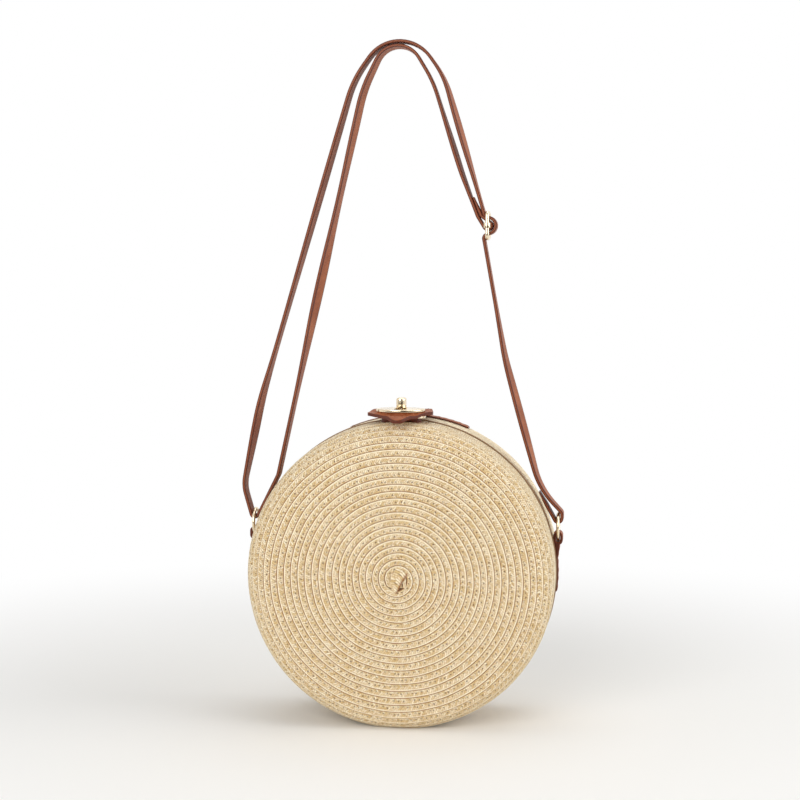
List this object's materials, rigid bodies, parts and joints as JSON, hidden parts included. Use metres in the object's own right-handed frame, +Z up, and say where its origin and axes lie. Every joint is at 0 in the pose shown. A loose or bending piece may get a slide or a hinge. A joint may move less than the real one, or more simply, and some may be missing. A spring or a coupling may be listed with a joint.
{
  "type": "round straw shoulder bag",
  "caption": "Round drum-shaped shoulder bag of sewn straw braid that opens like a shell, with a leather closure tab, a metal twist lock and a doubled leather strap on rings with a slider.",
  "frame": {"origin": "middle of the base, on the surface that the bag stands on, midway between the front and the back face", "axes": "+Z up, +X to the right seen from the front, -Y towards the front"},
  "size_m": [0.2016, 0.082, 0.4202],
  "materials": {
    "straw_braid": "sewn natural straw braid, matt with a slight sheen",
    "lining_cloth": "plain woven cotton",
    "binding_leather": "thin folded edge binding",
    "brown_leather": "smooth, with painted edges",
    "pale_gold": "polished pale gold plating"
  },
  "bodies": {
    "rear_shell": {"rear_panel": "straw_braid", "rear_gusset": "straw_braid", "rear_lining": "lining_cloth", "rear_binding": "binding_leather", "anchor_strip": "brown_leather", "side_tab_left": "brown_leather", "side_tab_right": "brown_leather"},
    "front_shell": {"front_panel": "straw_braid", "front_gusset": "straw_braid", "front_lining": "lining_cloth", "front_binding": "binding_leather", "lock_pad": "brown_leather", "lock_base_plate": "pale_gold", "lock_backing_plate": "pale_gold", "lock_rivets": "pale_gold"},
    "knob": {"turn_knob": "pale_gold", "knob_washer": "pale_gold"},
    "closure": {"closure_tab": "brown_leather", "eyelet_plate": "pale_gold", "eyelet_back_plate": "pale_gold", "eyelet_rivets": "pale_gold"},
    "strap": {"strap": "brown_leather", "slider_frame": "pale_gold", "slider_bar": "pale_gold", "ring_left": "pale_gold", "ring_right": "pale_gold"}
  },
  "joints": [
    {"name": "shell_open", "type": "hinge", "parent": "rear_shell", "child": "front_shell", "pos_m": [0, -0.03666, 0], "axis": [1, 0, 0], "range_deg": [0, 22]},
    {"name": "knob_turn", "type": "hinge", "parent": "front_shell", "child": "knob", "pos_m": [0, -0.018, 0.1902], "axis": [0, 0, 1], "range_deg": [0, 90]},
    {"name": "tab_lift", "type": "hinge", "parent": "rear_shell", "child": "closure", "pos_m": [0, 0.025, 0.1903], "axis": [1, 0, 0], "range_deg": [-154, 0]},
    {"name": "strap_swing", "type": "hinge", "parent": "rear_shell", "child": "strap", "pos_m": [0, 0.003, 0.121], "axis": [1, 0, 0], "range_deg": [-25, 25]}
  ],
  "couplings": [
    {"joint": "tab_lift", "follows": "shell_open", "ratio": -7}
  ]
}
